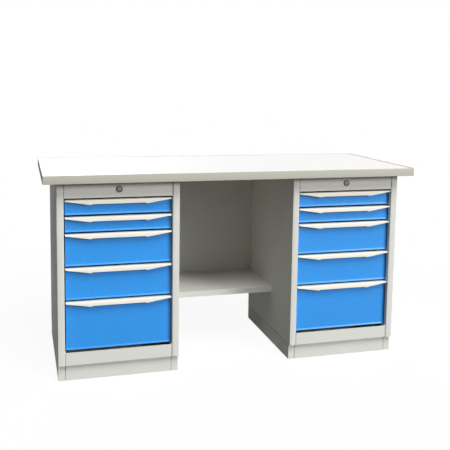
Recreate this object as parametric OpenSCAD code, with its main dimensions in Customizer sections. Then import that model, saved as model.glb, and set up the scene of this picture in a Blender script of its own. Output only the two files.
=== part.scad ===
// Double-pedestal steel desk: a laminated worktop on two drawer pedestals that are joined by a
// back panel and a half-depth shelf. Millimetres, +X across the desk, -Y its front, +Z up, with
// the origin on the floor under the middle of the worktop.

/* [Worktop] */
// Width of the worktop
top_w = 1600; // [1510:5:2000]
// Depth of the worktop, front to back
top_d = 660; // [650:5:800]
// Thickness of the worktop
top_t = 30; // [24:1:45]
// Height of the desk to the top of the worktop
desk_h = 850; // [780:5:950]
// Thickness of the laminate on the board
laminate_t = 1.2; // [0.6:0.1:2]
// Width of the lipping around the board
lipping_w = 3; // [1:0.5:20]
// Reach of the worktop past the front of the pedestals
front_overhang = 50; // [15:1:60]

/* [Pedestals] */
// Width of a pedestal
ped_w = 497; // [440:1:520]
// Depth of a pedestal
ped_d = 600; // [540:5:610]
// Thickness of the sheet steel
sheet = 1.2; // [0.8:0.1:2]
// Width of the side panel's folded front edge
stile_w = 28.4; // [24:0.2:40]
// Depth of the fold behind that edge
stile_return = 22; // [14:0.5:30]
// Width of the side panel's rear fold
rear_flange = 20; // [12:1:40]
// Height of the rail that carries the lock
lock_rail_h = 66; // [54:0.5:90]
// Height of the rail under the drawers
bottom_rail_h = 54; // [20:0.5:90]
// Set-back of both rails behind the front edges
rail_setback = 1; // [0:0.1:4]
// Seam between a rail and the front edge beside it
seam = 2.2; // [0.4:0.1:3]
// Set-back of the rails' end tabs behind their faces
tab_setback = 6; // [3:0.5:10]

/* [Plinths] */
// Height of the plinth
plinth_h = 68; // [50:1:110]
// Set-back of the plinth's front
plinth_setback = 16; // [4:1:60]
// Set-back of its other three sides
plinth_inset = 0.8; // [0.2:0.1:20]
// Thickness of its steel
plinth_t = 2; // [1.2:0.1:4]
// Depth of the two seams in its front
seam_depth = 6; // [3:0.5:10]
// Width of its folded top and foot
foot_flange = 25; // [12:1:50]
// Height of the shadow gap between the plinth and the pedestal
shadow_gap = 2.5; // [1:0.5:6]
// Depth of that gap
shadow_depth = 5; // [2:0.5:10]

/* [Kneehole] */
// Width between the pedestals
knee_w = 500; // [420:5:560]
// Height of the shelf's top
shelf_top = 268.5; // [180:0.5:450]
// Height of the shelf's folded edges
shelf_t = 25.5; // [16:0.5:50]
// Set-back of the shelf's front edge behind the pedestals' fronts
shelf_setback = 243; // [60:1:400]
// Width of the fold under the shelf's front edge
shelf_lip = 12; // [6:1:30]
// Distance from the back panel's face to the pedestals' rear
panel_inset = 25; // [22:1:60]
// Depth of the back panel's folded edges
panel_fold = 20; // [12:1:22]

/* [Drawers] */
// Set-back of the drawer fronts behind the stiles
front_setback = 20; // [8:0.5:30]
// Thickness of a drawer front
front_depth = 14; // [10:0.5:24]
// Gap between a drawer front and each stile
side_gap = 4.6; // [1.5:0.1:8]
// Gap above each drawer front
drawer_gap = 9; // [3:0.1:12]
// Gap under the lowest drawer front
base_gap = 5.5; // [1.5:0.1:10]
// Height of the flared strip along the foot of a front
kick_h = 7; // [4:0.5:14]
// Reach of that strip at its foot
kick_out = 3; // [0.5:0.1:6]
// Thickness of the drawer box's steel
box_sheet = 1; // [0.7:0.1:1.6]
// Width of the fold around the box's rim
rim_w = 6; // [3:0.5:12]
// Height of the box's floor above the foot of its front
box_lift = 4; // [2:0.5:6]
// Distance from the box's rim to the top of its front
box_top_gap = 10; // [8:0.5:16]
// Space behind a closed drawer box
box_rear_gap = 54; // [20:1:120]

/* [Handles] */
// Thickness of the handle strip
handle_t = 3; // [2:0.1:4]
// Set-back of the grip's face behind the stiles
grip_setback = 2; // [0.5:0.5:4]
// Height of the grip at its ends
tip_h = 4.2; // [3:0.1:8]
// Height of the grip at its two ears
ear_h = 20; // [16:0.5:24]
// Height of the grip between the ears
grip_h = 17; // [8:0.5:19]
// Distance between the ears
ear_span = 228; // [120:1:300]
// Width of the step beside an ear
ear_step = 8; // [4:1:24]

/* [Slides] */
// Height of a drawer slide
slide_h = 45; // [30:1:46]
// Thickness of a slide between the upright and the box
slide_t = 12.7; // [11:0.1:16]
// Steel of the slide's members
member_t = 1.2; // [0.8:0.1:1.5]
// Play between the members
slide_play = 0.6; // [0.4:0.1:0.8]
// Height of the slide's middle above the foot of the front
slide_rise = 28; // [25:0.5:29]
// Distance from the box's ends to the slide's ends
slide_end = 5; // [1:1:20]
// Set-back of the middle member's ends
mid_end = 6; // [1:1:20]
// Width of the uprights that carry the slides
upright_w = 40; // [20:1:80]
// Distance from the slides' ends to the uprights
upright_inset = 10; // [5:1:60]

/* [Locks] */
// Radius of the lock's ring
ring_r = 13; // [12:0.5:16]
// Reach of the ring in front of the rail
ring_t = 2.5; // [1:0.1:5]
// Wall of the sleeve that the lock turns in
sleeve_t = 1.8; // [1:0.1:2.4]
// Length of the sleeve behind the ring's face
sleeve_l = 14; // [8:0.5:24]
// Radius of the turning barrel
barrel_r = 9; // [7:0.1:9.4]
// Radial play of the barrel
lock_play = 0.1; // [0.05:0.01:0.2]
// Depth of the barrel's face inside the ring
barrel_sink = 0.8; // [0.2:0.1:2]
// Clearance of the sleeve in the rail
sleeve_play = 0.2; // [0.1:0.05:0.4]
// Width of the keyway
keyway_w = 3.5; // [2:0.1:5]
// Height of the keyway
keyway_h = 9; // [6:0.5:12]
// Depth of the keyway
keyway_d = 9; // [4:0.5:12]
// Reach of the cam from the lock's axis
cam_reach = 24; // [16:0.5:25]
// Width of the cam
cam_w = 12; // [8:0.5:16]
// Thickness of the cam
cam_t = 2.5; // [1.5:0.1:4]

/* [Fasteners] */
// Radius of the worktop bolts
bolt_r = 3; // [2:0.5:4]
// Radius of a bolt's head
bolt_head_r = 6; // [5:0.5:9]
// Height of a bolt's head
bolt_head_h = 4; // [2:0.5:6]
// Length of a bolt inside the board
bolt_bite = 18; // [8:1:22]
// Distance from the bolts to the pedestal's sides
bolt_side = 75; // [50:1:120]
// Distance from the bolts to the pedestal's front and rear
bolt_end = 80; // [50:1:150]
// Radius of the kneehole screws
screw_r = 2.5; // [1.5:0.5:3]
// Radius of a screw's head
screw_head_r = 5; // [3:0.5:6]
// Height of a screw's head
screw_head_h = 2.5; // [1.5:0.5:4]
// Length of a screw inside the pedestal
screw_bite = 8; // [4:1:12]
// Distance from the shelf's screws to its front and rear
shelf_screw_end = 60; // [30:1:120]
// Distance from the panel's screws to its top and foot
panel_screw_end = 70; // [40:1:150]
// Clearance of bolts and screws in their holes
hole_play = 0.2; // [0.1:0.05:0.5]

/* [Hidden] */
$fn = 48;
SIDES = ["left", "right"];
UNITS = [1, 1, 2, 2, 3];
DRAWERS = [1 : len(UNITS)];
DRAWER_PIECES = ["front", "handle", "box", "slide_mid"];
PEDESTAL_PIECES = ["sides", "back", "decks"];
SHARED = [
    "worktop_board", "worktop_laminate", "worktop_lipping", "kneehole_back_panel", "kneehole_shelf",
    "bottom_rails", "plinths", "slide_tracks", "lock_escutcheons", "fasteners"
];
function drawer_node(s, k, piece) = str(s, "_drawer_", k, "_", piece);

past = 1;
ped_h = desk_h - top_t;
ped_x = (knee_w + ped_w) / 2;
ped_y = -top_d / 2 + front_overhang;
body_h = ped_h - plinth_h;
back_y = ped_d - 2 * sheet;
core_w = top_w - 2 * lipping_w;
core_d = top_d - 2 * lipping_w;
lock_z = ped_h - lock_rail_h / 2;

function sum_from(k) = k > len(UNITS) ? 0 : UNITS[k - 1] + sum_from(k + 1);
drawers_z = plinth_h + bottom_rail_h + base_gap;
unit_h = (ped_h - lock_rail_h - drawers_z) / sum_from(1);
function foot_z(k) = drawers_z + unit_h * sum_from(k + 1);
function drawer_h(k) = unit_h * UNITS[k - 1] - drawer_gap;
front_w = ped_w - 2 * (stile_w + side_gap);

box_y = front_setback + front_depth;
box_w = ped_w - 2 * (stile_w + slide_t);
box_d = back_y - box_rear_gap - box_y;
slide_y = box_y + slide_end;
slide_l = box_d - 2 * slide_end;
mid_h = slide_h - 2 * (member_t + slide_play);
inner_h = mid_h - 2 * (member_t + slide_play);
mid_out = slide_t - member_t - 2 * slide_play;
outer_out = mid_out - slide_play;
sleeve_r = barrel_r + lock_play + sleeve_t;
cam_y = rail_setback - ring_t + sleeve_l + past;

panel_y = ped_d - panel_inset;
panel_z = shelf_top - shelf_t;
board_t = top_t - laminate_t;

steel = [0.83, 0.83, 0.80];
lipping = [0.77, 0.76, 0.71];
blue = [0.20, 0.55, 0.90];
cream = [0.96, 0.96, 0.90];
zinc = [0.66, 0.67, 0.68];
dark_steel = [0.36, 0.36, 0.35];

// Moves children from a pedestal's own frame, with its origin under the middle of its front.
module at_pedestal(s) {
    translate([s == "left" ? -ped_x : ped_x, ped_y, 0]) children();
}

// Puts children on both sides of a pedestal: x = 0 is its outer face and +x points inwards.
module both_sides() {
    for (m = [0, 1])
        mirror([m, 0, 0]) translate([-ped_w / 2, 0, 0]) children();
}

// Channel along +Y, open towards +X, with its web at x = 0.
module channel(l, h, reach, t) {
    cube([t, l, h]);
    cube([reach, l, t]);
    translate([0, 0, h - t]) cube([reach, l, t]);
}

module bolt_places(s) {
    at_pedestal(s)
        for (x = [-1, 1] * (ped_w / 2 - bolt_side), y = [bolt_end, ped_d - bolt_end])
            translate([x, y, ped_h]) children();
}

// The kneehole's screws: +z of each place points into the pedestal beside it.
module screw_places() {
    shelf_ys = [shelf_setback + shelf_screw_end, panel_y - shelf_screw_end];
    panel_zs = [panel_z + panel_screw_end, (panel_z + ped_h) / 2, ped_h - panel_screw_end];
    places = concat(
        [for (y = shelf_ys) [y, shelf_top - shelf_t / 2]],
        [for (z = panel_zs) [panel_y + panel_fold / 2, z]]
    );
    for (side = [-1, 1], p = places)
        translate([side * knee_w / 2, ped_y + p[0], p[1]]) rotate([0, side * 90, 0]) children();
}

module worktop_board() {
    color("burlywood") difference() {
        translate([-core_w / 2, -core_d / 2, ped_h]) cube([core_w, core_d, board_t]);
        for (s = SIDES)
            bolt_places(s) translate([0, 0, -past])
                cylinder(r = bolt_r + hole_play, h = bolt_bite + hole_play + past);
    }
}

module worktop_laminate() {
    color("white") translate([-core_w / 2, -core_d / 2, ped_h + board_t])
        cube([core_w, core_d, laminate_t]);
}

module worktop_lipping() {
    color(lipping) translate([0, 0, ped_h]) linear_extrude(top_t) difference() {
        square([top_w, top_d], center = true);
        square([core_w, core_d], center = true);
    }
}

// A side panel in plan: outer wall, stile with its fold, and rear fold.
module side_profile() {
    square([sheet, ped_d]);
    square([stile_w, sheet]);
    translate([stile_w - sheet, 0]) square([sheet, stile_return]);
    translate([0, ped_d - sheet]) square([rear_flange, sheet]);
}

module pedestal_sides(s) {
    color(steel) difference() {
        at_pedestal(s) both_sides()
            translate([0, 0, plinth_h]) linear_extrude(body_h) side_profile();
        screw_places() cylinder(r = screw_r + hole_play, h = 2 * screw_bite, center = true);
    }
}

module pedestal_back(s) {
    color(steel) at_pedestal(s) translate([-ped_w / 2 + sheet, back_y, plinth_h])
        cube([ped_w - 2 * sheet, sheet, body_h]);
}

// The plates that close a pedestal's top and foot behind its rails.
module pedestal_decks(s) {
    color(steel) difference() {
        at_pedestal(s) for (z = [plinth_h, ped_h - sheet])
            translate([-ped_w / 2 + sheet, stile_return, z])
                cube([ped_w - 2 * sheet, back_y - stile_return, sheet]);
        bolt_places(s) cylinder(r = bolt_r + hole_play, h = 4 * sheet, center = true);
    }
}

// A folded rail between the stiles: face, flanges at the given heights, and end tabs that meet
// the stiles' folds.
module rail(z, h, flanges) {
    half_w = ped_w / 2 - stile_w - seam;
    translate([-half_w, rail_setback, z]) {
        cube([2 * half_w, sheet, h]);
        for (up = flanges)
            translate([0, 0, up]) cube([2 * half_w, stile_return - rail_setback, sheet]);
    }
    both_sides() translate([stile_w, rail_setback + tab_setback, z])
        cube([seam + sheet, stile_return - rail_setback - tab_setback, h]);
}

module lock_rail(s) {
    color(steel) at_pedestal(s) difference() {
        rail(ped_h - lock_rail_h, lock_rail_h, [0, lock_rail_h - sheet]);
        translate([0, rail_setback - past, lock_z]) rotate([-90, 0, 0])
            cylinder(r = sleeve_r + sleeve_play, h = sheet + 2 * past);
    }
}

module bottom_rails() {
    color(steel) for (s = SIDES) at_pedestal(s) rail(plinth_h, bottom_rail_h, [0]);
}

// A ring of folded steel: four walls with their tops and feet folded inwards. Two seams, in line
// with the stiles, part its front board from the corners and end against a strip behind them. A
// narrower frame on top leaves a shadow gap under the pedestal.
module plinth() {
    outer = [ped_w - 2 * plinth_inset, ped_d - plinth_setback - plinth_inset];
    wall_h = plinth_h - shadow_gap;
    difference() {
        union() {
            translate([-outer[0] / 2, plinth_setback, 0]) difference() {
                cube([outer[0], outer[1], wall_h]);
                translate([plinth_t, plinth_t, plinth_t])
                    cube([outer[0] - 2 * plinth_t, outer[1] - 2 * plinth_t, wall_h - 2 * plinth_t]);
                translate([foot_flange, foot_flange, -past])
                    cube([outer[0] - 2 * foot_flange, outer[1] - 2 * foot_flange, plinth_h + past]);
            }
            both_sides() translate([stile_w - plinth_t, plinth_setback, 0])
                cube([seam + 2 * plinth_t, seam_depth + plinth_t, wall_h]);
        }
        both_sides() translate([stile_w, plinth_setback - past, -past])
            cube([seam, seam_depth + past, plinth_h + 2 * past]);
    }
    translate([-outer[0] / 2, plinth_setback, wall_h]) difference() {
        translate([shadow_depth, shadow_depth, 0])
            cube([outer[0] - 2 * shadow_depth, outer[1] - 2 * shadow_depth, shadow_gap]);
        translate([foot_flange, foot_flange, -past])
            cube([outer[0] - 2 * foot_flange, outer[1] - 2 * foot_flange, plinth_h + past]);
    }
}

module plinths() {
    color(steel) for (s = SIDES) at_pedestal(s) plinth();
}

// Uprights on the side panels with each drawer's fixed slide member.
module slide_tracks() {
    color(zinc) for (s = SIDES) at_pedestal(s) both_sides() {
        for (y = [slide_y + upright_inset, slide_y + slide_l - upright_inset - upright_w])
            translate([0, y, plinth_h + sheet]) linear_extrude(body_h - 2 * sheet) {
                translate([stile_w - sheet, 0]) square([sheet, upright_w]);
                for (leg = [0, upright_w - sheet])
                    translate([sheet, leg]) square([stile_w - sheet, sheet]);
            }
        for (k = DRAWERS)
            translate([stile_w, slide_y, foot_z(k) + slide_rise - slide_h / 2])
                channel(slide_l, slide_h, outer_out, member_t);
    }
}

module kneehole_back_panel() {
    color(steel) difference() {
        translate([-knee_w / 2, ped_y + panel_y, panel_z]) difference() {
            cube([knee_w, panel_fold, ped_h - panel_z]);
            translate([sheet, sheet, sheet])
                cube([knee_w - 2 * sheet, panel_fold, ped_h - panel_z - 2 * sheet]);
        }
        screw_places() cylinder(r = screw_r + hole_play, h = 4 * sheet, center = true);
    }
}

// The shelf: a plate with all four edges folded down and a lip folded under its front.
module kneehole_shelf() {
    shelf_d = panel_y - shelf_setback;
    color(steel) difference() {
        translate([-knee_w / 2, ped_y + shelf_setback, panel_z]) difference() {
            cube([knee_w, shelf_d, shelf_t]);
            translate([sheet, sheet, sheet])
                cube([knee_w - 2 * sheet, shelf_d - 2 * sheet, shelf_t - 2 * sheet]);
            translate([sheet, shelf_lip, -past])
                cube([knee_w - 2 * sheet, shelf_d - sheet - shelf_lip, past + 2 * sheet]);
        }
        screw_places() cylinder(r = screw_r + hole_play, h = 4 * sheet, center = true);
    }
}

module lock_escutcheons() {
    color(dark_steel) for (s = SIDES)
        at_pedestal(s) translate([0, rail_setback - ring_t, lock_z]) rotate([-90, 0, 0])
            difference() {
                union() {
                    cylinder(r = ring_r, h = ring_t);
                    cylinder(r = sleeve_r, h = sleeve_l);
                }
                translate([0, 0, -past]) cylinder(r = barrel_r + lock_play, h = sleeve_l + 2 * past);
            }
}

// The barrel that the key turns, with its keyway and the cam behind the rail.
module lock_cylinder(s) {
    face_y = rail_setback - ring_t + barrel_sink;
    color(zinc) at_pedestal(s) translate([0, 0, lock_z]) {
        translate([0, face_y, 0]) difference() {
            rotate([-90, 0, 0]) cylinder(r = barrel_r, h = cam_y - face_y);
            translate([-keyway_w / 2, -past, -keyway_h / 2])
                cube([keyway_w, keyway_d + past, keyway_h]);
        }
        translate([-cam_w / 2, cam_y, -cam_w / 2]) cube([cam_reach + cam_w / 2, cam_t, cam_w]);
    }
}

// Bolts up through the pedestals' top plates, and screws through the kneehole panels' folds.
module fasteners() {
    color(zinc) {
        for (s = SIDES) bolt_places(s) {
            translate([0, 0, -sheet - bolt_head_h]) cylinder(r = bolt_head_r, h = bolt_head_h);
            translate([0, 0, -sheet - past]) cylinder(r = bolt_r, h = bolt_bite + sheet + past);
        }
        screw_places() {
            translate([0, 0, -sheet - screw_head_h]) cylinder(r = screw_head_r, h = screw_head_h);
            translate([0, 0, -sheet - past]) cylinder(r = screw_r, h = screw_bite + sheet + past);
        }
    }
}

// A folded pan with a strip along its foot that flares forwards.
module drawer_front(s, k) {
    z = foot_z(k);
    h = drawer_h(k) - handle_t;
    rear_y = front_setback + front_depth;
    outline = [
        [front_setback, h], [front_setback, kick_h], [front_setback - kick_out, 0],
        [rear_y, 0], [rear_y, h]
    ];
    color(blue) at_pedestal(s) translate([-front_w / 2, 0, z]) difference() {
        rotate([90, 0, 90]) linear_extrude(front_w) polygon(outline);
        translate([sheet, front_setback + sheet, sheet])
            cube([front_w - 2 * sheet, front_depth, h - 2 * sheet]);
    }
}

// A strip along the top of the front that turns down into a grip, deepest at its two ears.
module drawer_handle(s, k) {
    half_w = front_w / 2;
    right = [
        [half_w, 0], [half_w, -tip_h], [ear_span / 2, -ear_h], [ear_span / 2 - ear_step, -grip_h]
    ];
    left = [for (i = [len(right) - 1 : -1 : 0]) [-right[i][0], right[i][1]]];
    color(cream) at_pedestal(s) translate([0, 0, foot_z(k) + drawer_h(k)]) {
        translate([0, grip_setback + handle_t, 0]) rotate([90, 0, 0])
            linear_extrude(handle_t) polygon(concat(right, left));
        translate([-half_w, grip_setback, -handle_t])
            cube([front_w, front_setback + front_depth - grip_setback, handle_t]);
    }
}

// The steel drawer with its rim folded inwards, and a slide member on each side.
module drawer_box(s, k) {
    h = drawer_h(k) - box_lift - box_top_gap;
    wall = box_sheet + rim_w;
    color(steel) at_pedestal(s) translate([0, 0, foot_z(k)]) {
        translate([-box_w / 2, box_y, box_lift]) difference() {
            cube([box_w, box_d, h]);
            translate([box_sheet, box_sheet, box_sheet])
                cube([box_w - 2 * box_sheet, box_d - 2 * box_sheet, h - 2 * box_sheet]);
            translate([wall, wall, h - 2 * box_sheet])
                cube([box_w - 2 * wall, box_d - 2 * wall, 2 * box_sheet + past]);
        }
        both_sides() translate([stile_w + slide_t, slide_y, slide_rise - inner_h / 2])
            mirror([1, 0, 0])
                channel(slide_l, inner_h, slide_t - 2 * (member_t + slide_play), member_t);
    }
}

// The slide members between the fixed ones and the box's own, which move half as far.
module drawer_slide_mid(s, k) {
    color(zinc) at_pedestal(s) both_sides()
        translate([
            stile_w + member_t + slide_play, slide_y + mid_end, foot_z(k) + slide_rise - mid_h / 2
        ])
            channel(slide_l - 2 * mid_end, mid_h, mid_out - member_t - slide_play, member_t);
}

worktop_board();
worktop_laminate();
worktop_lipping();
kneehole_back_panel();
kneehole_shelf();
bottom_rails();
plinths();
slide_tracks();
lock_escutcheons();
fasteners();
for (s = SIDES) {
    pedestal_sides(s);
    pedestal_back(s);
    pedestal_decks(s);
    lock_rail(s);
    lock_cylinder(s);
    for (k = DRAWERS) {
        drawer_front(s, k);
        drawer_handle(s, k);
        drawer_box(s, k);
        drawer_slide_mid(s, k);
    }
}
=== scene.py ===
"""A double-pedestal steel desk with ten drawers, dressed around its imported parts.

Lengths are metres in the part's own frame: +X across the desk, -Y its front, +Z up.
"""
import math

import bmesh
import bpy
import numpy as np
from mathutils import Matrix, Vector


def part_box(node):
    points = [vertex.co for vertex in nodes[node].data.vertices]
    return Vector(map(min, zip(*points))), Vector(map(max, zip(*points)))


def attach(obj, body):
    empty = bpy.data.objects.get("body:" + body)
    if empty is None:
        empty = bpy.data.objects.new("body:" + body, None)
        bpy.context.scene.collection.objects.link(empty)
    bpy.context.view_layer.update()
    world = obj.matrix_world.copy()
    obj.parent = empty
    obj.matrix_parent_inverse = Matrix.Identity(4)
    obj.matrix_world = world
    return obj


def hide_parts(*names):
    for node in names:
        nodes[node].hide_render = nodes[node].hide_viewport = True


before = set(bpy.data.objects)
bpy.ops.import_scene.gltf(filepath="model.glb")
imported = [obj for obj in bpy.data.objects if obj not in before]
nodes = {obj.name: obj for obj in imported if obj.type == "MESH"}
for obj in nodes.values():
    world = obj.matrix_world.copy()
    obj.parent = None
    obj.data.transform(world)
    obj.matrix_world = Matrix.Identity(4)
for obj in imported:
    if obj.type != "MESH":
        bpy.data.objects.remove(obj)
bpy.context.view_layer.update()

scene = bpy.context.scene
SIDES = ("left", "right")
DRAWERS = (1, 2, 3, 4, 5)

# ---- Camera ---------------------------------------------------------------------------------
# A standing viewer's lens, left of the desk and above its worktop. The small shift frames the
# desk without tilting its upright edges.
CAMERA_AT = (-0.8837, -3.1509, 1.2265)
CAMERA_TURN_DEG = (83.426, -0.828, -15.863)
LENS_MM = 57.72
SENSOR_MM = 36
CAMERA_SHIFT = (0.0019, -0.1366)
CAMERA_REACH = 60

camera = bpy.data.objects.new("camera", bpy.data.cameras.new("camera"))
scene.collection.objects.link(camera)
camera.location = CAMERA_AT
camera.rotation_euler = [math.radians(turn) for turn in CAMERA_TURN_DEG]
camera.data.lens = LENS_MM
camera.data.sensor_width = SENSOR_MM
camera.data.shift_x, camera.data.shift_y = CAMERA_SHIFT
camera.data.clip_end = CAMERA_REACH
scene.camera = camera

# ---- Plinths and rails ----------------------------------------------------------------------
# Folded sheet steel under and between the side panels, all in a light warm grey powder coat.
# The plinths are screwed up into the pedestals' floors, and the rails are welded to the stiles.
STEEL_GREY = (0.71, 0.71, 0.665)
STEEL_FLECK = 0.10
STEEL_ROUGHNESS = 0.56
STEEL_PEEL = 0.35
STEEL_GLOSS = 0.10
FLECK_TONES = (0.87, 1.13)
FLECK_SPREAD = (0.3, 0.7)
DRIFT_TONES = (0.97, 1.03)
DRIFT_ROUGHNESS = 0.12
PEEL_HEIGHT = 0.0002


def add(tree, kind, settings=None, **inputs):
    """Adds a shader node: settings are its properties, inputs its sockets' values or links."""
    made = tree.nodes.new(kind)
    for name, value in (settings or {}).items():
        setattr(made, name, value)
    for name, value in inputs.items():
        socket = made.inputs[int(name[1:]) if name[0] == "_" else name.replace("_", " ")]
        if isinstance(value, bpy.types.NodeSocket):
            tree.links.new(value, socket)
        else:
            socket.default_value = value
    return made


def new_group(name, sockets_in, sockets_out):
    """Starts a shader node group. sockets map a name to Color, Float or Vector."""
    group = bpy.data.node_groups.new(name, "ShaderNodeTree")
    for sockets, way in ((sockets_in, "INPUT"), (sockets_out, "OUTPUT")):
        for label, kind in sockets.items():
            group.interface.new_socket(label, in_out=way, socket_type="NodeSocket" + kind)
    return group, group.nodes.new("NodeGroupInput").outputs, group.nodes.new("NodeGroupOutput")


def mixed(tree, factor, low, high):
    """Blends two colours by a factor socket or value."""
    return add(tree, "ShaderNodeMix", {"data_type": "RGBA"}, _0=factor, _6=low, _7=high).outputs[2]


def rgba(colour, share=1):
    """A colour socket's value: share times the colour, at most 1, and solid."""
    return (*(min(share * c, 1) for c in colour), 1)


def new_material(name):
    """A material with its Principled shader, ready for its colour, roughness and normal."""
    material = bpy.data.materials.new(name)
    material.use_nodes = True
    return material, material.node_tree, material.node_tree.nodes["Principled BSDF"]


def powder_coat_group():
    """Baked powder: an orange-peel skin a millimetre across, with flecks of 1 to 5 mm and a slow
    drift of tone where the powder lay thicker."""
    group, given, out = new_group(
        "powder_coat",
        {"Place": "Vector", "Colour": "Color", "Fleck": "Float", "Roughness": "Float"},
        {"Colour": "Color", "Roughness": "Float", "Height": "Float"},
    )
    flecks = add(group, "ShaderNodeTexNoise", Vector=given["Place"], Scale=210, Detail=4)
    drift = add(group, "ShaderNodeTexNoise", Vector=given["Place"], Scale=5, Detail=4)
    peel = add(group, "ShaderNodeTexNoise", Vector=given["Place"], Scale=900, Detail=2)
    deep, light = (
        add(group, "ShaderNodeHueSaturation", Value=tone, Color=given["Colour"])
        for tone in FLECK_TONES
    )
    spread = add(
        group, "ShaderNodeMapRange", Value=flecks.outputs["Fac"],
        From_Min=FLECK_SPREAD[0], From_Max=FLECK_SPREAD[1], To_Min=0, To_Max=1,
    )
    flecked = mixed(group, spread.outputs[0], deep.outputs[0], light.outputs[0])
    toned = mixed(group, given["Fleck"], given["Colour"], flecked)
    slow = add(
        group, "ShaderNodeMapRange",
        Value=drift.outputs["Fac"], To_Min=DRIFT_TONES[0], To_Max=DRIFT_TONES[1],
    )
    final = add(group, "ShaderNodeHueSaturation", Value=slow.outputs[0], Color=toned)
    rough = add(
        group, "ShaderNodeMath", {"operation": "MULTIPLY_ADD"},
        _0=drift.outputs["Fac"], _1=DRIFT_ROUGHNESS, _2=given["Roughness"],
    )
    group.links.new(final.outputs[0], out.inputs["Colour"])
    group.links.new(rough.outputs[0], out.inputs["Roughness"])
    group.links.new(peel.outputs["Fac"], out.inputs["Height"])
    return group


POWDER_COAT = powder_coat_group()


def enamel(name, colour, fleck, roughness, peel, gloss):
    """A powder-coated finish in one colour. Fleck is the share of its two tones that shows, peel
    the share of PEEL_HEIGHT that its skin stands up by, and gloss its specular level."""
    material, tree, shader = new_material(name)
    place = add(tree, "ShaderNodeTexCoord").outputs["Object"]
    coat = add(
        tree, "ShaderNodeGroup", {"node_tree": POWDER_COAT},
        Place=place, Colour=rgba(colour), Fleck=fleck, Roughness=roughness - DRIFT_ROUGHNESS / 2,
    )
    bump = add(
        tree, "ShaderNodeBump",
        Strength=peel, Distance=PEEL_HEIGHT, Height=coat.outputs["Height"],
    )
    tree.links.new(coat.outputs["Colour"], shader.inputs["Base Color"])
    tree.links.new(coat.outputs["Roughness"], shader.inputs["Roughness"])
    tree.links.new(bump.outputs[0], shader.inputs["Normal"])
    shader.inputs["Specular IOR Level"].default_value = gloss
    return material


def finish_nodes(material, *names):
    """Gives CAD nodes a material in place of their plain one."""
    for name in names:
        slots = nodes[name].data.materials
        slots.clear()
        slots.append(material)


grey_enamel = enamel(
    "grey_enamel", STEEL_GREY, STEEL_FLECK, STEEL_ROUGHNESS, STEEL_PEEL, STEEL_GLOSS
)
finish_nodes(grey_enamel, "plinths", "bottom_rails", "left_lock_rail", "right_lock_rail")
finish_nodes(grey_enamel, *[f"{s}_pedestal_{part}" for s in SIDES for part in ("back", "decks")])

# ---- Pedestal side panels -------------------------------------------------------------------
# Each is one steel sheet, bent at the front into a stile and its return, and at the rear into a
# flange. The bends are round outside, as a press brake leaves them.
SHEET = 0.0012
STILE = 0.0284
STILE_RETURN = 0.022
REAR_FLANGE = 0.020
BEND_INSIDE = 0.0012
BEND_LINES = 5
MERGE_WITHIN = 1e-6
SLIVER = 1e-7
SHARP_DEG = 35


def bent_sheet(corners, gauge, bend):
    """The two faces of a bent sheet, in section. The first face runs along the corners given and
    the second lies gauge to its left. Each corner is an arc about one centre: its radius is bend
    on the inside of the turn and bend + gauge on the outside."""
    corners = np.asarray(corners, float)
    ways = np.diff(corners, axis=0)
    ways /= np.linalg.norm(ways, axis=1)[:, None]
    lefts = np.stack([-ways[:, 1], ways[:, 0]], axis=1)
    near, far = [corners[:1]], [corners[:1] + gauge * lefts[0]]
    for corner, (a, b), (left_a, left_b) in zip(
        corners[1:-1], zip(ways[:-1], ways[1:]), zip(lefts[:-1], lefts[1:])
    ):
        turn = math.atan2(a[0] * b[1] - a[1] * b[0], a @ b)
        side = math.copysign(1, turn)
        radius = bend + gauge if side > 0 else bend
        centre = corner - a * radius * abs(math.tan(turn / 2)) + side * radius * left_a
        share = np.linspace(0, 1, BEND_LINES)[:, None]
        spoke = left_a * np.sin((1 - share) * abs(turn)) + left_b * np.sin(share * abs(turn))
        spoke /= math.sin(abs(turn))
        near.append(centre - side * radius * spoke)
        far.append(centre - side * (radius - side * gauge) * spoke)
    near.append(corners[-1:])
    far.append(corners[-1:] + gauge * lefts[-1])
    return np.concatenate(near), np.concatenate(far)


def grid_quads(rows, columns, close_rows=False, close_columns=False):
    """Quads between the points of a rows x columns grid, numbered row by row."""
    row = np.arange(rows if close_rows else rows - 1)
    column = np.arange(columns if close_columns else columns - 1)
    r, c = np.meshgrid(row, column, indexing="ij")
    up, along = (r + 1) % rows, (c + 1) % columns
    corners = (r * columns + c, r * columns + along, up * columns + along, up * columns + c)
    return np.stack(corners, axis=-1).reshape(-1, 4)


def surface(name, points, quads, material):
    """Makes a mesh object from points and quads: closed, facing outwards, and smooth but for the
    edges that turn by more than SHARP_DEG."""
    mesh = bpy.data.meshes.new(name)
    mesh.from_pydata(points.reshape(-1, 3).tolist(), [], quads.tolist())
    shell = bmesh.new()
    shell.from_mesh(mesh)
    bmesh.ops.remove_doubles(shell, verts=shell.verts, dist=MERGE_WITHIN)
    bmesh.ops.dissolve_degenerate(shell, edges=shell.edges, dist=SLIVER)
    bmesh.ops.recalc_face_normals(shell, faces=shell.faces)
    shell.to_mesh(mesh)
    shell.free()
    mesh.shade_smooth()
    mesh.set_sharp_from_angle(angle=math.radians(SHARP_DEG))
    mesh.materials.append(material)
    piece = bpy.data.objects.new(name, mesh)
    scene.collection.objects.link(piece)
    return piece


def joined(parts):
    """Puts several (points, quads) surfaces into one."""
    points = [np.reshape(p, (-1, 3)) for p, _ in parts]
    starts = np.cumsum([0] + [len(p) for p in points[:-1]])
    return np.concatenate(points), np.concatenate([q + s for (_, q), s in zip(parts, starts)])


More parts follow.
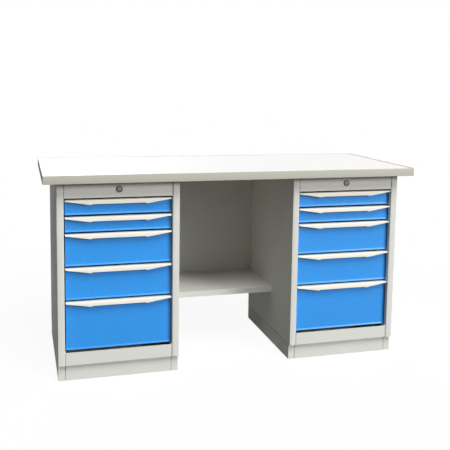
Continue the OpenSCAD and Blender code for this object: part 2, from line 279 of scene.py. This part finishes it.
def upright_sheet(corners, gauge, bend, low, high):
    """A bent sheet in plan, carried straight up from low to high: both faces, edges and ends."""
    near, far = bent_sheet(corners, gauge, bend)
    count = len(near)
    loop = np.concatenate([near, far[::-1]])
    points = np.empty((2, 2 * count, 3))
    points[..., :2] = loop
    points[..., 2] = [[low], [high]]
    walls = grid_quads(2, 2 * count, close_columns=True)
    i = np.arange(count - 1)
    end = np.stack([i, i + 1, 2 * count - 2 - i, 2 * count - 1 - i], axis=1)
    return points, np.concatenate([walls, end, end + 2 * count])


def side_panels(side):
    """Both panels of a pedestal, the second a mirror image of the first."""
    low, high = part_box(f"{side}_pedestal_sides")
    depth = high[1] - low[1]
    plan = [(REAR_FLANGE, depth), (0, depth), (0, 0), (STILE, 0), (STILE, STILE_RETURN)]
    points, quads = upright_sheet(plan, SHEET, BEND_INSIDE, low[2], high[2])
    outer = points + np.array([low[0], low[1], 0])
    inner = points * np.array([-1, 1, 1]) + np.array([high[0], low[1], 0])
    name = f"{side}_side_panels"
    piece = surface(name, *joined([(outer, quads), (inner, quads)]), grey_enamel)
    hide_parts(f"{side}_pedestal_sides")
    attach(piece, "desk")


for s in SIDES:
    side_panels(s)

# ---- Slides ---------------------------------------------------------------------------------
# Uprights and telescopic slides of zinc-plated steel strip: the fixed members are riveted to the
# uprights, the middle ones run in them, and the inner ones are on the drawers.
ZINC = (0.60, 0.61, 0.60)
ZINC_ROUGHNESS = 0.36


def zinc_plate(name, colour, roughness):
    """Bright zinc: a metal whose crystals show as a faint spangle, with rolling streaks along Y."""
    material, tree, shader = new_material(name)
    place = add(tree, "ShaderNodeTexCoord").outputs["Object"]
    spangle = add(tree, "ShaderNodeTexVoronoi", Vector=place, Scale=140)
    along = add(tree, "ShaderNodeMapping", Vector=place, Scale=(600, 12, 600))
    streaks = add(tree, "ShaderNodeTexNoise", Vector=along.outputs[0], Scale=1, Detail=3)
    tone = mixed(tree, spangle.outputs["Distance"], rgba(colour), rgba(colour, 0.8))
    rough = add(
        tree, "ShaderNodeMapRange",
        Value=streaks.outputs["Fac"], To_Min=roughness - 0.08, To_Max=roughness + 0.12,
    )
    bump = add(tree, "ShaderNodeBump", Strength=0.2, Distance=0.0001, Height=streaks.outputs["Fac"])
    tree.links.new(tone, shader.inputs["Base Color"])
    tree.links.new(rough.outputs[0], shader.inputs["Roughness"])
    tree.links.new(bump.outputs[0], shader.inputs["Normal"])
    shader.inputs["Metallic"].default_value = 1
    return material


zinc = zinc_plate("zinc_plate", ZINC, ZINC_ROUGHNESS)
finish_nodes(zinc, "slide_tracks", *[f"{s}_drawer_{k}_slide_mid" for s in SIDES for k in DRAWERS])

# ---- Drawer boxes ---------------------------------------------------------------------------
# Welded trays of thin sheet with a safe folded rim, coated like the pedestals but a shade darker.
BOX_GREY = (0.58, 0.58, 0.55)
BOX_FLECK = 0.12
BOX_ROUGHNESS = 0.48

box_enamel = enamel("drawer_steel", BOX_GREY, BOX_FLECK, BOX_ROUGHNESS, STEEL_PEEL, STEEL_GLOSS)
finish_nodes(box_enamel, *[f"{s}_drawer_{k}_box" for s in SIDES for k in DRAWERS])

# ---- Drawer fronts --------------------------------------------------------------------------
# Pressed pans in bright blue powder coat. All four edges fall back in a round fold, and a strip
# along the foot kicks forwards.
FRONT_BLUE = (0.023, 0.287, 0.785)
FRONT_FLECK = 0.70
FRONT_ROUGHNESS = 0.38
FRONT_PEEL = 0.5
FRONT_GLOSS = 0.55
FRONT_FOLD = 0.0022
FOOT_FOLD = 0.0008
FOLD_LINES = 6
FLAT_LINES = 9
KICK_H = 0.007
KICK_OUT = 0.003
KICK_LINES = (0.3, 0.6, 0.9, 1, 1.1)

blue_enamel = enamel(
    "blue_enamel", FRONT_BLUE, FRONT_FLECK, FRONT_ROUGHNESS, FRONT_PEEL, FRONT_GLOSS
)


def eased_line(low, high, low_fold, high_fold, stops=()):
    """Places along an edge-to-edge line: evenly spaced on the flat, at the stops, and at fold *
    (1 - cos) of even angles in the folds at both ends."""
    ease = 1 - np.cos(np.linspace(0, math.pi / 2, FOLD_LINES))
    flat = np.linspace(low + 2 * low_fold, high - 2 * high_fold, FLAT_LINES)
    places = [low + low_fold * ease, flat, np.asarray(stops), high - high_fold * ease]
    return np.unique(np.concatenate(places))


def fold_fall(inside, fold):
    """How far a face falls back at a distance inside its edge: a quarter circle of radius fold."""
    inside = np.clip(inside, 0, fold)
    return fold - np.sqrt(np.maximum(fold**2 - (fold - inside) ** 2, 0))


def drawer_front(side, k):
    """The face is a grid over x and z whose y is the fall at the folds less the kick at the foot,
    KICK_OUT * (1 - height / KICK_H). A flat grid of the same lines closes its back."""
    low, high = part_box(f"{side}_drawer_{k}_front")
    xs = eased_line(low[0], high[0], FRONT_FOLD, FRONT_FOLD)
    bends = low[2] + KICK_H * np.array(KICK_LINES)
    zs = eased_line(low[2], high[2], FOOT_FOLD, FRONT_FOLD, stops=bends)
    z, x = np.meshgrid(zs, xs, indexing="ij")
    fall = fold_fall(np.minimum(x - low[0], high[0] - x), FRONT_FOLD)
    fall += fold_fall(high[2] - z, FRONT_FOLD) + fold_fall(z - low[2], FOOT_FOLD)
    kick = KICK_OUT * np.clip(1 - (z - low[2]) / KICK_H, 0, 1)
    face = np.stack([x, low[1] + KICK_OUT + np.minimum(fall, 2 * FRONT_FOLD) - kick, z], axis=-1)
    back = np.stack([x, np.full_like(x, high[1]), z], axis=-1)
    rows, columns = x.shape
    sheet_quads = grid_quads(rows, columns)
    number = np.arange(rows * columns).reshape(rows, columns)
    rim = np.concatenate([number[0], number[1:, -1], number[-1, -2::-1], number[-2:0:-1, 0]])
    after = np.roll(rim, -1)
    shift = rows * columns
    rim_quads = np.stack([rim, after, after + shift, rim + shift], axis=1)
    quads = np.concatenate([sheet_quads, sheet_quads + shift, rim_quads])
    piece = surface(f"{side}_front_{k}", np.stack([face, back]), quads, blue_enamel)
    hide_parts(f"{side}_drawer_{k}_front")
    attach(piece, f"{side}_drawer_{k}")


for s in SIDES:
    for k in DRAWERS:
        drawer_front(s, k)

# ---- Drawer handles -------------------------------------------------------------------------
# A cream strip clipped over the top of each front. Its nose turns down into a grip that tapers
# from two ears to thin tips at the pedestal's stiles.
CREAM = (0.955, 0.92, 0.80)
STRIP = 0.003
NOSE = 0.0012
EDGE = 0.0006
EAR_SPAN = 0.228
EAR_STEP = 0.008
GRIP_H = 0.017
EAR_H = 0.020
TIP_H = 0.0042
ROUND_LINES = 5
STRETCH_LINES = 7


def cream_plastic(name, colour):
    """Moulded plastic: a faint satin grain, and a slow cloud of tone and gloss where it wears."""
    material, tree, shader = new_material(name)
    place = add(tree, "ShaderNodeTexCoord").outputs["Object"]
    grain = add(tree, "ShaderNodeTexNoise", Vector=place, Scale=1500, Detail=2)
    cloud = add(tree, "ShaderNodeTexNoise", Vector=place, Scale=14, Detail=4)
    tone = mixed(tree, cloud.outputs["Fac"], rgba(colour), rgba(colour, 0.95))
    rough = add(tree, "ShaderNodeMapRange", Value=cloud.outputs["Fac"], To_Min=0.32, To_Max=0.46)
    bump = add(tree, "ShaderNodeBump", Strength=0.25, Distance=0.0001, Height=grain.outputs["Fac"])
    tree.links.new(tone, shader.inputs["Base Color"])
    tree.links.new(rough.outputs[0], shader.inputs["Roughness"])
    tree.links.new(bump.outputs[0], shader.inputs["Normal"])
    return material


cream = cream_plastic("cream_plastic", CREAM)


def handle_section(depth, height):
    """The strip's outline in y and z for each grip height, as an (x, point, 2) array: forwards
    along the top, round the nose, down the face, under the edge with two small rounds, and up
    behind the grip to the strip's underside. Each round is a quarter circle."""
    quarter = np.linspace(0, math.pi / 2, ROUND_LINES)
    fall, rise = np.sin(quarter), 1 - np.cos(quarter)
    column = np.ones_like(height)[:, None]
    foot = -np.maximum(height, STRIP + EDGE)[:, None]
    y = [depth, NOSE * (1 - fall), EDGE * rise, STRIP - EDGE * (1 - fall), STRIP, depth]
    z = [0, -NOSE * rise, foot + EDGE * (1 - fall), foot + EDGE * rise, -STRIP, -STRIP]
    y = np.concatenate([np.atleast_1d(part) * column for part in y], axis=1)
    z = np.concatenate([np.atleast_1d(part) * column for part in z], axis=1)
    return np.stack([y, z], axis=-1)


def drawer_handle(side, k):
    """The section above carried along x, with the grip's height in straight stretches between the
    middle, the ears and the tips."""
    low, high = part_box(f"{side}_drawer_{k}_handle")
    half = (high[0] - low[0]) / 2
    ear = EAR_SPAN / 2
    bends = np.array([0, ear - EAR_STEP, ear, half])
    heights = np.array([GRIP_H, GRIP_H, EAR_H, TIP_H])
    stretches = [np.linspace(a, b, STRETCH_LINES)[:-1] for a, b in zip(bends[:-1], bends[1:])]
    out = np.concatenate([*stretches, [half]])
    x = np.concatenate([-out[:0:-1], out])
    section = handle_section(high[1] - low[1], np.interp(np.abs(x), bends, heights))
    count = section.shape[1]
    points = np.empty((len(x), count, 3))
    points[..., 0] = (x + (low[0] + high[0]) / 2)[:, None]
    points[..., 1] = low[1] + section[..., 0]
    points[..., 2] = high[2] + section[..., 1]
    quads = grid_quads(len(x), count, close_columns=True)
    i = np.arange(count // 2 - 1)
    cap = np.stack([i, i + 1, count - 2 - i, count - 1 - i], axis=1)
    caps = np.concatenate([cap, cap + (len(x) - 1) * count])
    piece = surface(f"{side}_handle_{k}", points, np.concatenate([quads, caps]), cream)
    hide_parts(f"{side}_drawer_{k}_handle")
    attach(piece, f"{side}_drawer_{k}")


for s in SIDES:
    for k in DRAWERS:
        drawer_handle(s, k)

# ---- Locks ----------------------------------------------------------------------------------
# A dark die-cast ring, pushed through each lock rail and nutted behind it, holds a satin nickel
# barrel that the key turns. Its thin lip laps over the barrel's rim.
RING_GREY = (0.07, 0.07, 0.066)
RING_METALLIC = 0.3
RING_ROUGHNESS = 0.42
NICKEL = (0.20, 0.196, 0.182)
NICKEL_ROUGHNESS = 0.34
RING_OUTER = 0.0138
RING_BEVEL = 0.0009
BEVEL_SHARE = 0.3
RING_BORE = 0.0091
RING_LIP = 0.0077
RING_LIP_T = 0.0005
SLEEVE_OUTER = 0.0109
FLANGE = 0.0025
ROUND_STEPS = 48


def cast_metal(name, colour, metallic, roughness):
    """Cast or machined metal: fine pits that roughen it, and a cloud of tone where it is rubbed."""
    material, tree, shader = new_material(name)
    place = add(tree, "ShaderNodeTexCoord").outputs["Object"]
    pits = add(tree, "ShaderNodeTexNoise", Vector=place, Scale=1800, Detail=3)
    cloud = add(tree, "ShaderNodeTexNoise", Vector=place, Scale=120, Detail=3)
    tone = mixed(tree, cloud.outputs["Fac"], rgba(colour), rgba(colour, 1.25))
    rough = add(
        tree, "ShaderNodeMapRange",
        Value=pits.outputs["Fac"], To_Min=roughness - 0.06, To_Max=roughness + 0.1,
    )
    bump = add(tree, "ShaderNodeBump", Strength=0.3, Distance=0.0001, Height=pits.outputs["Fac"])
    tree.links.new(tone, shader.inputs["Base Color"])
    tree.links.new(rough.outputs[0], shader.inputs["Roughness"])
    tree.links.new(bump.outputs[0], shader.inputs["Normal"])
    shader.inputs["Metallic"].default_value = metallic
    return material


def turned(profile, steps):
    """A profile of (radius, height) points turned about +Z, closed along itself and around."""
    radius, height = np.asarray(profile, float).T
    angle = np.arange(steps) * math.tau / steps
    circle = np.stack([np.cos(angle), np.sin(angle)], axis=-1)
    points = np.empty((steps, len(radius), 3))
    points[..., :2] = circle[:, None, :] * radius[None, :, None]
    points[..., 2] = height
    return points, grid_quads(steps, len(radius), close_rows=True, close_columns=True)


def facing_front(points, x, y, z):
    """Turns what stands on +Z so that it faces the desk's front (-Y), and moves it to a place."""
    return np.stack([points[..., 0] + x, y - points[..., 2], points[..., 1] + z], axis=-1)


ring_metal = cast_metal("lock_ring", RING_GREY, RING_METALLIC, RING_ROUGHNESS)
nickel = cast_metal("satin_nickel", NICKEL, 1, NICKEL_ROUGHNESS)
finish_nodes(nickel, "left_lock_cylinder", "right_lock_cylinder")

lock_low, lock_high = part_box("lock_escutcheons")
lock_z = (lock_low[2] + lock_high[2]) / 2
sleeve_back = lock_low[1] - lock_high[1]
bevel = BEVEL_SHARE * RING_BEVEL
ring_profile = [
    (RING_OUTER, -FLANGE), (RING_OUTER, -RING_BEVEL), (RING_OUTER - bevel, -bevel),
    (RING_OUTER - RING_BEVEL, 0), (RING_LIP, 0), (RING_LIP, -RING_LIP_T), (RING_BORE, -RING_LIP_T),
    (RING_BORE, sleeve_back), (SLEEVE_OUTER, sleeve_back), (SLEEVE_OUTER, -FLANGE),
]
rings = []
for s in SIDES:
    pedestal_low, pedestal_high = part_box(f"{s}_pedestal_sides")
    points, quads = turned(ring_profile, ROUND_STEPS)
    lock_x = (pedestal_low[0] + pedestal_high[0]) / 2
    rings.append((facing_front(points, lock_x, lock_low[1], lock_z), quads))
lock_rings = surface("lock_rings", *joined(rings), ring_metal)
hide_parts("lock_escutcheons")
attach(lock_rings, "desk")

# ---- Kneehole panel and shelf ---------------------------------------------------------------
# Two folded steel pans screwed between the pedestals. The back panel hangs from under the
# worktop to the shelf, which fills only the rear half of the kneehole.
finish_nodes(grey_enamel, "kneehole_back_panel", "kneehole_shelf")

# ---- Worktop --------------------------------------------------------------------------------
# A chipboard core with a hard white laminate on top. The lipping glued round it is a beige-grey
# band with eased edges, which stands a little proud of it above and below.
CHIP_LIGHT = (0.56, 0.45, 0.33)
CHIP_DARK = (0.32, 0.23, 0.15)
CHIP_ROUGHNESS = 0.85
LAMINATE_WHITE = (0.90, 0.90, 0.885)
LAMINATE_ROUGHNESS = (0.30, 0.46)
LAMINATE_GLOSS = 0.2
LIPPING_GREY = (0.515, 0.50, 0.43)
LIPPING_ROUGHNESS = 0.6
LIPPING_GLOSS = 0.15
LIPPING_W = 0.003
LIPPING_PROUD = 0.0018
LIPPING_EASE = 0.0010
LIPPING_CORNER = 0.003


def chipboard(name):
    """Pressed wood chips: flat cells of several browns, 4 to 10 mm long, with a rough face."""
    material, tree, shader = new_material(name)
    place = add(tree, "ShaderNodeTexCoord").outputs["Object"]
    flat = add(tree, "ShaderNodeMapping", Vector=place, Scale=(120, 210, 400))
    chips = add(tree, "ShaderNodeTexVoronoi", Vector=flat.outputs[0], Scale=1)
    fibres = add(tree, "ShaderNodeTexNoise", Vector=flat.outputs[0], Scale=5, Detail=4)
    pick = add(tree, "ShaderNodeSeparateColor", Color=chips.outputs["Color"])
    brown = mixed(tree, pick.outputs[0], rgba(CHIP_LIGHT), rgba(CHIP_DARK))
    tone = mixed(tree, fibres.outputs["Fac"], brown, rgba(CHIP_LIGHT))
    bump = add(
        tree, "ShaderNodeBump", Strength=0.5, Distance=0.0004, Height=chips.outputs["Distance"]
    )
    tree.links.new(tone, shader.inputs["Base Color"])
    tree.links.new(bump.outputs[0], shader.inputs["Normal"])
    shader.inputs["Roughness"].default_value = CHIP_ROUGHNESS
    return material


def white_laminate(name):
    """Hard melamine: near white, with a fine pearl grain and long wiped streaks in its gloss."""
    material, tree, shader = new_material(name)
    place = add(tree, "ShaderNodeTexCoord").outputs["Object"]
    grain = add(tree, "ShaderNodeTexNoise", Vector=place, Scale=1300, Detail=2)
    cloud = add(tree, "ShaderNodeTexNoise", Vector=place, Scale=2.5, Detail=5)
    long = add(tree, "ShaderNodeMapping", Vector=place, Scale=(3, 26, 1))
    wiped = add(
        tree, "ShaderNodeTexNoise", Vector=long.outputs[0], Scale=1, Detail=6, Distortion=0.6
    )
    tone = mixed(tree, cloud.outputs["Fac"], rgba(LAMINATE_WHITE), rgba(LAMINATE_WHITE, 0.97))
    rough = add(
        tree, "ShaderNodeMapRange",
        Value=wiped.outputs["Fac"], To_Min=LAMINATE_ROUGHNESS[0], To_Max=LAMINATE_ROUGHNESS[1],
    )
    bump = add(tree, "ShaderNodeBump", Strength=0.2, Distance=0.0001, Height=grain.outputs["Fac"])
    tree.links.new(tone, shader.inputs["Base Color"])
    tree.links.new(rough.outputs[0], shader.inputs["Roughness"])
    tree.links.new(bump.outputs[0], shader.inputs["Normal"])
    shader.inputs["Specular IOR Level"].default_value = LAMINATE_GLOSS
    return material


def edge_band(name):
    """Extruded plastic band: drawn streaks along its length over a slightly cloudy grey."""
    material, tree, shader = new_material(name)
    place = add(tree, "ShaderNodeTexCoord").outputs["Object"]
    drawn = add(tree, "ShaderNodeMapping", Vector=place, Scale=(4, 4, 900))
    streaks = add(tree, "ShaderNodeTexNoise", Vector=drawn.outputs[0], Scale=1, Detail=3)
    cloud = add(tree, "ShaderNodeTexNoise", Vector=place, Scale=30, Detail=4)
    clouded = mixed(tree, cloud.outputs["Fac"], rgba(LIPPING_GREY), rgba(LIPPING_GREY, 0.92))
    tone = mixed(tree, streaks.outputs["Fac"], clouded, rgba(LIPPING_GREY, 1.06))
    bump = add(
        tree, "ShaderNodeBump", Strength=0.25, Distance=0.0001, Height=streaks.outputs["Fac"]
    )
    tree.links.new(tone, shader.inputs["Base Color"])
    tree.links.new(bump.outputs[0], shader.inputs["Normal"])
    shader.inputs["Roughness"].default_value = LIPPING_ROUGHNESS
    shader.inputs["Specular IOR Level"].default_value = LIPPING_GLOSS
    return material


def lipping_ring(low, high):
    """The band's section, a rectangle with its two outer edges eased by quarter circles, carried
    round a rectangle whose corners are arcs of LIPPING_CORNER, or a mitre further in."""
    quarter = np.linspace(0, math.pi / 2, ROUND_LINES)
    height = high[2] - low[2]
    inset = LIPPING_EASE * (1 - np.sin(quarter))
    rise = LIPPING_EASE * (1 - np.cos(quarter))
    u = np.concatenate([inset, inset[::-1], [LIPPING_W, LIPPING_W]])
    v = np.concatenate([rise, height - rise[::-1], [height, 0]])
    angles = np.concatenate([quarter + corner * math.pi / 2 for corner in range(4)])
    middles = angles.reshape(4, -1).mean(axis=1).repeat(ROUND_LINES)
    sign_x, sign_y = np.sign(np.cos(middles)), np.sign(np.sin(middles))
    radius = np.maximum(LIPPING_CORNER - u, 0)[None, :]
    centre_in = np.maximum(LIPPING_CORNER, u)[None, :]
    half_x, half_y = (high[0] - low[0]) / 2, (high[1] - low[1]) / 2
    points = np.empty((len(angles), len(u), 3))
    points[..., 0] = sign_x[:, None] * (half_x - centre_in) + radius * np.cos(angles)[:, None]
    points[..., 1] = sign_y[:, None] * (half_y - centre_in) + radius * np.sin(angles)[:, None]
    points[..., :2] += [(low[0] + high[0]) / 2, (low[1] + high[1]) / 2]
    points[..., 2] = low[2] + v
    return points, grid_quads(len(angles), len(u), close_rows=True, close_columns=True)


finish_nodes(chipboard("chipboard"), "worktop_board")
finish_nodes(white_laminate("white_laminate"), "worktop_laminate")
edge_low, edge_high = np.array(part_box("worktop_lipping"))
edge_low[2] -= LIPPING_PROUD
edge_high[2] += LIPPING_PROUD
lipping = surface("lipping_band", *lipping_ring(edge_low, edge_high), edge_band("lipping_band"))
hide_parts("worktop_lipping")
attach(lipping, "desk")

# ---- Bolts and screws -----------------------------------------------------------------------
# Zinc-plated steel: hexagon bolts up into the board, pan-head screws through the kneehole folds.
finish_nodes(zinc, "fasteners")

# ---- Floor and light ------------------------------------------------------------------------
# A plain studio floor, seen white with a soft shadow on it. A broad lamp stands high in front of
# the desk, a lower one to its right and a small one behind it, under a faint even sky.
FLOOR_REACH = 30
FLOOR_TONE = 0.12
FLOOR_MOTTLE = (0.98, 1.02)
PAPER = (0.95, 0.95, 0.95)
SHADOW_SHARE = 0.07
SHADOW_REACH = (1.3, 2.6)
SKY = 0.02
LAMPS = {
    "key": {"azimuth": 8, "elevation": 58, "distance": 36, "size": 18, "watts": 11300},
    "front": {"azimuth": 40, "elevation": 17, "distance": 36, "size": 10, "watts": 8400},
    "back": {"azimuth": 180, "elevation": 24, "distance": 36, "size": 6, "watts": 3000},
}
LAMP_AIM = (0, 0, 0.5)


def background_rays(tree):
    """1 where a camera, mirror or glass ray arrives, so that they all see plain white."""
    path = add(tree, "ShaderNodeLightPath").outputs
    seen = add(
        tree, "ShaderNodeMath", {"operation": "MAXIMUM"},
        _0=path["Is Camera Ray"], _1=path["Is Glossy Ray"],
    )
    return add(
        tree, "ShaderNodeMath", {"operation": "MAXIMUM"},
        _0=seen.outputs[0], _1=path["Is Transmission Ray"],
    ).outputs[0]


def studio_floor():
    """A large flat sheet, faintly mottled. What is seen of it is white light, mixed by SHADOW_SHARE
    with lit paper near the desk, so that it shows the desk's shadow."""
    material, tree, _ = new_material("studio_floor")
    place = add(tree, "ShaderNodeTexCoord").outputs["Object"]
    mottle = add(tree, "ShaderNodeTexNoise", Vector=place, Scale=3, Detail=3)
    tone = add(
        tree, "ShaderNodeMapRange", Value=mottle.outputs["Fac"],
        To_Min=FLOOR_MOTTLE[0] * FLOOR_TONE, To_Max=FLOOR_MOTTLE[1] * FLOOR_TONE,
    )
    matt = add(tree, "ShaderNodeBsdfDiffuse", Color=tone.outputs[0])
    paper = add(tree, "ShaderNodeBsdfDiffuse", Color=rgba(PAPER))
    white = add(tree, "ShaderNodeEmission", Strength=1.0)
    away = add(tree, "ShaderNodeVectorMath", {"operation": "LENGTH"}, _0=place).outputs["Value"]
    share = add(
        tree, "ShaderNodeMapRange", {"interpolation_type": "SMOOTHSTEP"},
        Value=away, From_Min=SHADOW_REACH[0], From_Max=SHADOW_REACH[1],
        To_Min=1 - SHADOW_SHARE, To_Max=1,
    )
    shown = add(
        tree, "ShaderNodeMixShader",
        _0=share.outputs[0], _1=paper.outputs[0], _2=white.outputs[0],
    )
    both = add(
        tree, "ShaderNodeMixShader",
        _0=background_rays(tree), _1=matt.outputs[0], _2=shown.outputs[0],
    )
    tree.links.new(both.outputs[0], tree.nodes["Material Output"].inputs["Surface"])
    corners = np.array([[-1, -1, 0], [1, -1, 0], [-1, 1, 0], [1, 1, 0]], float) * FLOOR_REACH
    floor = surface("studio_floor", corners, grid_quads(2, 2), material)


def studio_sky():
    """An even dome: white where it is seen, dimmer where it lights the desk."""
    world = bpy.data.worlds.new("studio")
    world.use_nodes = True
    tree = world.node_tree
    shine = add(
        tree, "ShaderNodeMapRange", Value=background_rays(tree), To_Min=SKY, To_Max=1.0
    )
    tree.links.new(shine.outputs[0], tree.nodes["Background"].inputs["Strength"])
    tree.nodes["Background"].inputs["Color"].default_value = (1, 1, 1, 1)
    scene.world = world


def lamp(name, azimuth, elevation, distance, size, watts):
    """A square soft box aimed at LAMP_AIM. Azimuth 0 is straight in front, and turns rightwards."""
    light = bpy.data.lights.new(name, "AREA")
    light.size = size
    light.energy = watts
    stand = bpy.data.objects.new(name, light)
    scene.collection.objects.link(stand)
    a, e = math.radians(azimuth), math.radians(elevation)
    way = np.array([math.sin(a) * math.cos(e), -math.cos(a) * math.cos(e), math.sin(e)])
    stand.location = np.array(LAMP_AIM) + distance * way
    stand.rotation_euler = (math.pi / 2 - e, 0, a)


studio_floor()
studio_sky()
for name, facts in LAMPS.items():
    lamp(name, **facts)
scene.view_settings.view_transform = "Standard"
